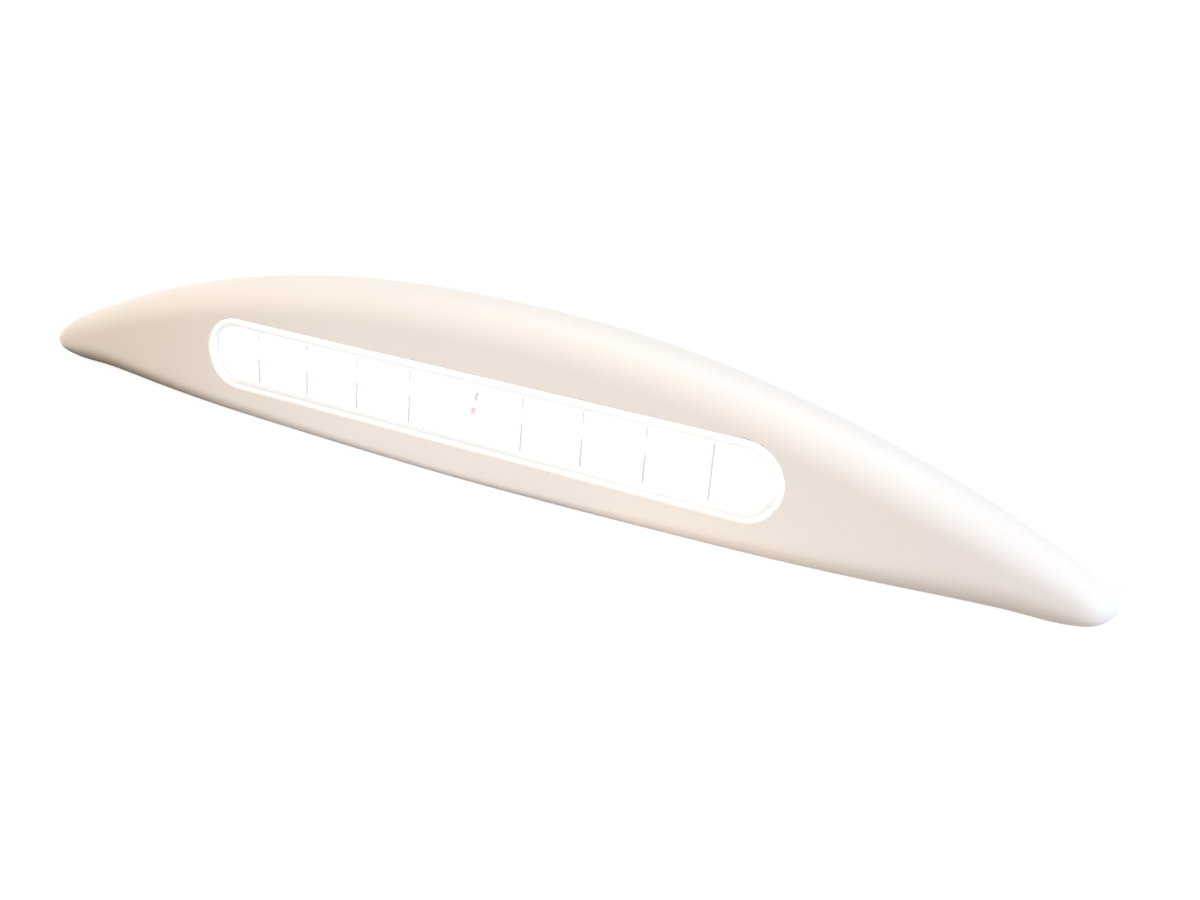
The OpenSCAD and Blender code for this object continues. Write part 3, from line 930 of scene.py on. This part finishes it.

# %% [markdown]
# The seal against the wall is closed-cell foam. Its skin shows round bubbles of about half a
# millimetre, which a Voronoi pattern gives: each is raised, with a painted highlight on it and
# painted shade in the gaps around it.

# %% Foam
foam_cell = 0.55
foam = Finish("black_foam")
pattern = {"Vector": foam.place(), "Scale": 1 / (foam_cell * MM), "Smoothness": 0.3}
cells = foam.node("TexVoronoi", {"feature": "SMOOTH_F1"}, pattern)
foam.set(
    # Painted light and shade: lighter on each bubble, darker in the gaps between them.
    Base_Color=foam.mix(cells, colour(54, 55, 56), colour(24, 25, 26)),
    Roughness=0.8 + 0.1 * foam.noise(2),
)
foam.bump(1 - cells, depth_mm=0.12, strength=0.8)
dress(foam, "wall_gasket")

# %% [markdown]
# The board is white on both sides. Under the lacquer two wide copper tracks run along it, which
# stand out only as a slightly warmer tone. The resistors carry silver caps, the diode a pale band.

# %% Board
track_up, track_side, track_end = 4.2, (1.5, 1.7), (80, 80.3)
board = Finish("board_white")
x, up, _ = window_places(board)
copper = board.fall(abs(abs(up) - track_up), *track_side) * board.fall(abs(x), *track_end)
lacquer = board.mix(board.noise(6), colour(236, 236, 231), colour(243, 243, 239))
board.set(
    Base_Color=board.mix(copper, lacquer, colour(235, 234, 230)),
    Roughness=0.3 + 0.1 * board.noise(3, seed=2),
)
board.bump(copper, depth_mm=0.035, strength=0.8)
dress(board, "pcb")

# %% Components
cap_side = (2.55, 2.65)
chip = Finish("component_black")
x, _, _ = window_places(chip)
cap = chip.step(abs(from_nearest(x, 2 * cell_pitch, 0.25)), *cap_side)
chip_body = chip.mix(chip.noise(1.5), colour(24, 24, 25), colour(36, 36, 37))
chip.set(
    Base_Color=chip.mix(cap, chip_body, colour(196, 197, 199)),
    Roughness=0.35 + 0.12 * chip.noise(0.8, seed=3),
    Metallic=cap,
)
dress(chip, *[f"resistor_{i}" for i in range(1, 6)])

stripe_from, stripe_to = (-13.4, -13.3), (-12.7, -12.6)
band = Finish("diode_black")
x, _, _ = window_places(band)
stripe = band.step(x, *stripe_from) * band.fall(x, *stripe_to)
diode_body = band.mix(band.noise(1.5), colour(28, 28, 29), colour(38, 38, 39))
band.set(
    Base_Color=band.mix(stripe, diode_body, colour(188, 188, 186)),
    Roughness=0.45 + 0.1 * band.noise(0.6, seed=3),
)
dress(band, "diode")

# %% [markdown]
# The screws are bright zinc on steel. Zinc is a little cloudy, so colour and gloss drift in small
# patches, and drawing and heading leave fine scratches.

# %% Screws
steel = Finish("screw_steel")
steel.set(
    Base_Color=steel.mix(steel.noise(1.5), colour(176, 179, 183), colour(200, 201, 203)),
    Roughness=0.26 + 0.16 * steel.noise(0.6, seed=2),
    Metallic=1.0,
)
scratches = steel.noise(0.25, detail=4, seed=6, stretch=(1, 1, 6))
steel.bump(scratches, depth_mm=0.01, strength=0.5)
dress(steel, "clamp_screw_1", "clamp_screw_2", *[f"module_screw_{i}" for i in range(1, 5)])

# %% [markdown]
# The lamp lies on a white sheet that runs out of sight. The sheet and the sky are plain white to
# the camera and in reflections. For the light that they give the object they are a warm grey, which
# is what lets the rolled lower edge go dark. The floor still shows where the lamp keeps light away.
# Two patches are painted. Reflections see a painted shadow right under the lamp, where hardly any
# light comes, which draws the dark line of the lower edge. In front of the near half a painted pool
# of light gives more and warmer light, which lifts the roll above that line.


# %% The floor
def looked_at(nodes):
    """1 for what the camera, a reflection or a clear surface sees, and 0 for plain light."""
    camera_ray = nodes.node("LightPath", output="Is Camera Ray")
    seen = camera_ray.math("MAXIMUM", camera_ray.other("Is Glossy Ray"))
    return seen.math("MAXIMUM", camera_ray.other("Is Transmission Ray"))


reach = 3000
corners = [(-reach, -reach), (reach, -reach), (reach, reach), (-reach, reach)]
floor_mesh = bpy.data.meshes.new("floor")
floor_mesh.from_pydata([metres((x, y, -FLOOR_DROP)) for x, y in corners], [], [(0, 1, 2, 3)])
floor = bpy.data.objects.new("floor", floor_mesh)
bpy.context.scene.collection.objects.link(floor)
floor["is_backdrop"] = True
print("floor, metres across:", 2 * reach * MM)

# %% Patches of the floor, in millimetres along the lamp and behind its face, and their strength
under_front, under_back, under_ends = (-7, 1), (42, 50), (148, 158)
far_part, near_part, far_weaker, near_weaker = (-110, -60), (30, 100), 0.38, 0.32
warm_from, warm_fading, warm_fade = (20, 52), (60, 112), 0.45
warm_front, warm_back = (-26, -6), (2, 8)
print("dark under the lamp, mm from front to back:", under_back[0] - under_front[1])

# %% Finish of the floor
sheet = Finish("white_floor")
seen = looked_at(sheet)
along, inward, _ = sheet.axes()
beyond = (abs(along) - flat_half).math("MAXIMUM", 0.0)
behind_face = inward - face_y(0) - sweep * beyond * beyond

# Painted shadow, seen only in reflections: dark right under the lamp, weaker at the far and near parts.
dark = sheet.step(behind_face, *under_front) * sheet.fall(behind_face, *under_back)
weaker = far_weaker * sheet.step(along, *far_part) + near_weaker * sheet.step(along, *near_part)
dark = dark * sheet.fall(abs(along), *under_ends) * (1 - weaker)
dark = dark * sheet.node("LightPath", output="Is Glossy Ray")
# Painted pool of light: in front of the near half the floor gives more and warmer light.
warm = sheet.step(behind_face, *warm_front) * sheet.fall(behind_face, *warm_back)
warm = warm * sheet.step(along, *warm_from) * (1 - warm_fade * sheet.step(along, *warm_fading))

lighting = sheet.mix(sheet.noise(60, detail=2), (0.08, 0.07, 0.055), (0.09, 0.08, 0.065))
lighting = sheet.mix(warm, lighting, (0.44, 0.35, 0.225))
plain = sheet.mix(seen, lighting, (0.8, 0.8, 0.8))
sheet.set(
    Base_Color=sheet.mix(dark, plain, (0.05, 0.03, 0.015)),
    Roughness=0.9,
    Specular_IOR_Level=0.0,
    Emission_Color=sheet.mix(seen * (1 - dark), (0, 0, 0), (1, 1, 1)),
    Emission_Strength=0.77,
)
sheet.coat(floor)

# %% [markdown]
# The light is that of a bright table in front of a warm room: a large softbox above, two smaller
# ones to the right, and a sky that is warmer from the left and from the front. Three weak lamps
# stand close by: a warm one on the left, a small cool one at the near nose, and one low in front,
# for the patch of table that the lit window itself lights up, which brightens the face below it.


# %% Sky
def from_side(sky, direction):
    """How far a direction of the sky lies towards another, from 0 to 1."""
    directions = {0: sky.node("TexCoord", output="Generated"), 1: direction}
    toward = sky.node("VectorMath", {"operation": "DOT_PRODUCT"}, directions, "Value")
    return toward.math("MAXIMUM", 0.0)


studio = bpy.data.worlds.new("studio")
sky = Nodes(studio)
bpy.context.scene.world = studio
shine = (0.396, 0.401, 0.42)
left, front = (-1, 0, 0), (0, -1, 0)
for direction, added in [(left, (0.51, 0.42, 0.33)), (front, (0.475, 0.23, 0.03))]:
    shine = sky.mix(from_side(sky, direction), shine, added, "ADD")
sky.plug(sky.tree.nodes["Background"].inputs["Color"], sky.mix(looked_at(sky), shine, (1, 1, 1)))
print("nodes of the sky:", len(sky.tree.nodes))


# %% Softboxes
def softbox(name, place, aim, size, watts, tint, glossy=True):
    """A soft lamp of a size in millimetres. Without glossy it leaves no reflection of itself."""
    lamp = bpy.data.lights.new(name, "AREA")
    lamp.shape = "RECTANGLE"
    lamp.size, lamp.size_y = (side * MM for side in size)
    lamp.energy = watts
    lamp.color = tint
    made = aimed(bpy.data.objects.new(name, lamp), place, aim)
    made.visible_camera = False
    made.visible_glossy = glossy


centre = (0, 0, 20)
softbox("softbox_above", (0, 100, 900), centre, (900, 700), 2.88, (0.88, 0.95, 1.0))
softbox("softbox_front_right", (750, -600, 250), centre, (500, 400), 0.73, (1.0, 1.0, 1.0), False)
softbox("softbox_right", (850, -150, 200), (60, 0, 20), (400, 300), 3.28, (0.6, 0.8, 1.0), False)
softbox("warm_left", (-330, -120, 240), (-130, 0, 15), (200, 200), 0.142, (1.0, 0.76, 0.3), False)
softbox("cool_nose", (168, -38, 12), (138, -12, 9), (36, 36), 0.0022, (0.2, 0.4, 1.0), False)
softbox("lit_table", (15, -80, 2), (20, -20, 22), (190, 60), 0.045, (0.82, 0.89, 1.0), False)

# %% The end
sizes = {"cad": [list(corner) for corner in cad_bounds], "visual": [list(corner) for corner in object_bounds()]}
print("size, mm:", [round((high - low) / MM, 1) for low, high in zip(*sizes["visual"])])
